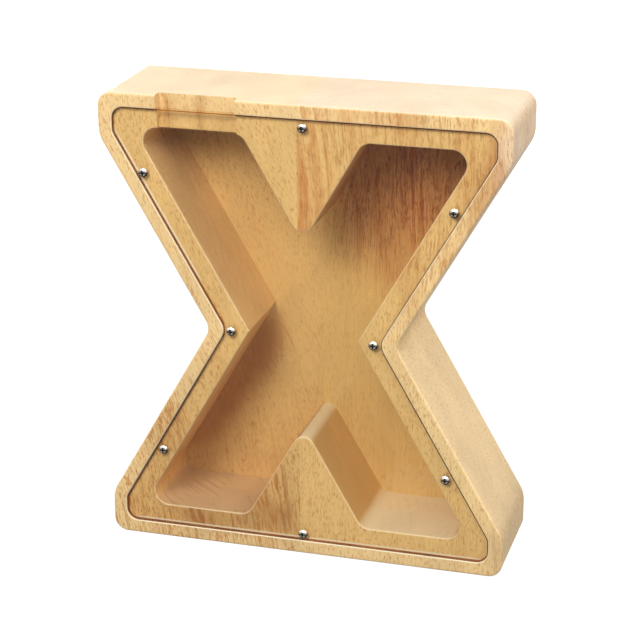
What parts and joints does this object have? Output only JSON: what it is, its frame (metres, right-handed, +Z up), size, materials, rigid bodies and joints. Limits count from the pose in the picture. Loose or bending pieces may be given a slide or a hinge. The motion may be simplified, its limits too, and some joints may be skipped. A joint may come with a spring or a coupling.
{
  "type": "wooden money box",
  "caption": "Upright X-shaped wooden coin bank with a routed cavity behind a clear, screwed-on front panel and a coin slot in the top edge.",
  "frame": {"origin": "centre of the base's flat resting face", "axes": "+Z up, the clear front faces -Y, +X to the right seen from the front"},
  "size_m": [0.1834, 0.0524, 0.21],
  "materials": {
    "wood_left": "fine-sanded, satin clear coat, light diagonal flecks",
    "wood_right": "fine-sanded, satin clear coat, vertical brown streaks",
    "clear_panel": "clear gloss acrylic",
    "screw_chrome": "bright plated"
  },
  "bodies": {
    "block": {"plank_left": "wood_left", "plank_right": "wood_right"},
    "panel": {"front_panel": "clear_panel"},
    "top_screw": {"screw_top": "screw_chrome"},
    "upper_left_screw": {"screw_upper_left": "screw_chrome"},
    "upper_right_screw": {"screw_upper_right": "screw_chrome"},
    "waist_left_screw": {"screw_waist_left": "screw_chrome"},
    "waist_right_screw": {"screw_waist_right": "screw_chrome"},
    "lower_left_screw": {"screw_lower_left": "screw_chrome"},
    "lower_right_screw": {"screw_lower_right": "screw_chrome"},
    "bottom_screw": {"screw_bottom": "screw_chrome"}
  },
  "joints": [
    {"name": "panel_lift", "type": "slide", "parent": "block", "child": "panel", "axis": [0, -1, 0], "range_m": [0, 0.03]},
    {"name": "screw_top_out", "type": "slide", "parent": "panel", "child": "top_screw", "axis": [0, -1, 0], "range_m": [0, 0.014]},
    {"name": "screw_upper_left_out", "type": "slide", "parent": "panel", "child": "upper_left_screw", "axis": [0, -1, 0], "range_m": [0, 0.014]},
    {"name": "screw_upper_right_out", "type": "slide", "parent": "panel", "child": "upper_right_screw", "axis": [0, -1, 0], "range_m": [0, 0.014]},
    {"name": "screw_waist_left_out", "type": "slide", "parent": "panel", "child": "waist_left_screw", "axis": [0, -1, 0], "range_m": [0, 0.014]},
    {"name": "screw_waist_right_out", "type": "slide", "parent": "panel", "child": "waist_right_screw", "axis": [0, -1, 0], "range_m": [0, 0.014]},
    {"name": "screw_lower_left_out", "type": "slide", "parent": "panel", "child": "lower_left_screw", "axis": [0, -1, 0], "range_m": [0, 0.014]},
    {"name": "screw_lower_right_out", "type": "slide", "parent": "panel", "child": "lower_right_screw", "axis": [0, -1, 0], "range_m": [0, 0.014]},
    {"name": "screw_bottom_out", "type": "slide", "parent": "panel", "child": "bottom_screw", "axis": [0, -1, 0], "range_m": [0, 0.014]}
  ]
}
